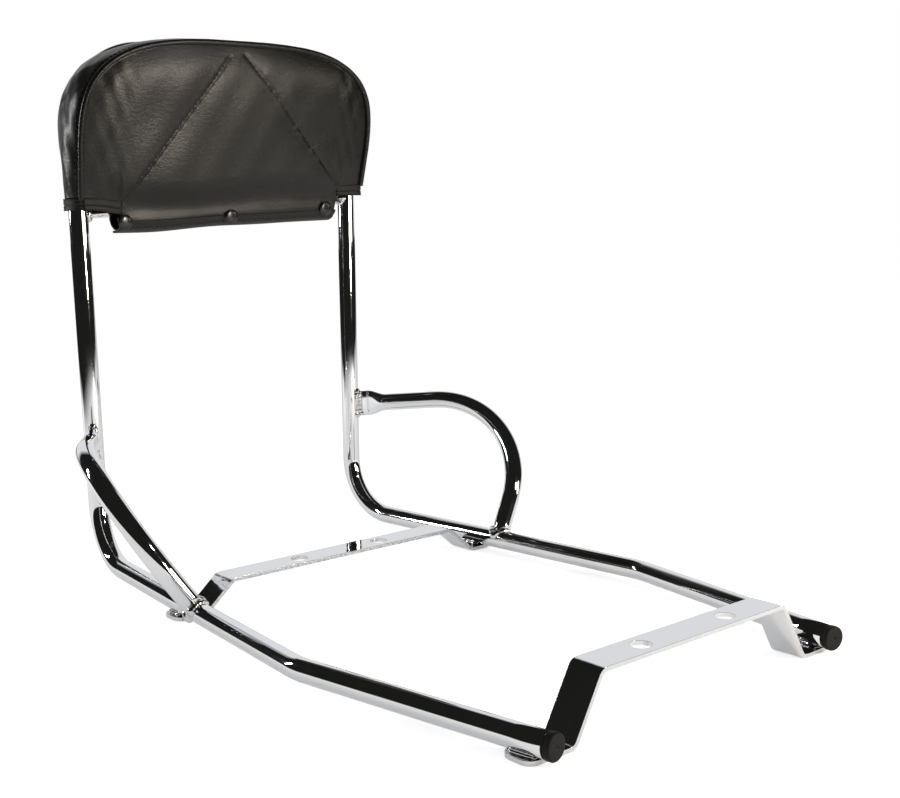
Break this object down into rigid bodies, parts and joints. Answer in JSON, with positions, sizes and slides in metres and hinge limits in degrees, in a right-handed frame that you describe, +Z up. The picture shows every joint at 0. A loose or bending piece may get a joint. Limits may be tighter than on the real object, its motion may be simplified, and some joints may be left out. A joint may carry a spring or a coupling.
{
  "type": "scooter backrest",
  "caption": "Padded backrest on a bent chromed tube frame with flat cross straps, side grab handles and a black cover closed by press studs.",
  "frame": {"origin": "on the floor under the middle of the overall box, in the plane of symmetry", "axes": "+Z up, -Y the way the rider faces, +X to the side; the plane X = 0 is the plane of symmetry"},
  "size_m": [0.4052, 0.5613, 0.4512],
  "materials": {
    "chrome_plate": "polished",
    "weld_metal": "rough bead with heat tint",
    "black_vinyl": "grained, semi-gloss",
    "binding_tape": "matte",
    "black_rubber": "matte",
    "foam": "open cell",
    "black_stud": "gloss"
  },
  "bodies": {
    "root": {"main_tube": "chrome_plate", "crossbar": "chrome_plate", "handle_left": "chrome_plate", "handle_right": "chrome_plate", "front_strap": "chrome_plate", "rear_strap": "chrome_plate", "end_plug_left": "black_rubber", "end_plug_right": "black_rubber", "handle_top_welds": "weld_metal", "handle_foot_welds": "weld_metal", "crossbar_welds": "weld_metal", "front_strap_welds": "weld_metal", "rear_strap_welds": "weld_metal", "foam_pad": "foam", "foam_infill": "foam", "cover_front_panel": "black_vinyl", "cover_boxing": "black_vinyl", "cover_back_panel": "black_vinyl", "front_piping": "black_vinyl", "sleeve_binding_left": "binding_tape", "sleeve_binding_right": "binding_tape", "flap_binding": "binding_tape", "press_stud_caps": "black_stud", "press_stud_backs": "black_stud"}
  },
  "joints": []
}
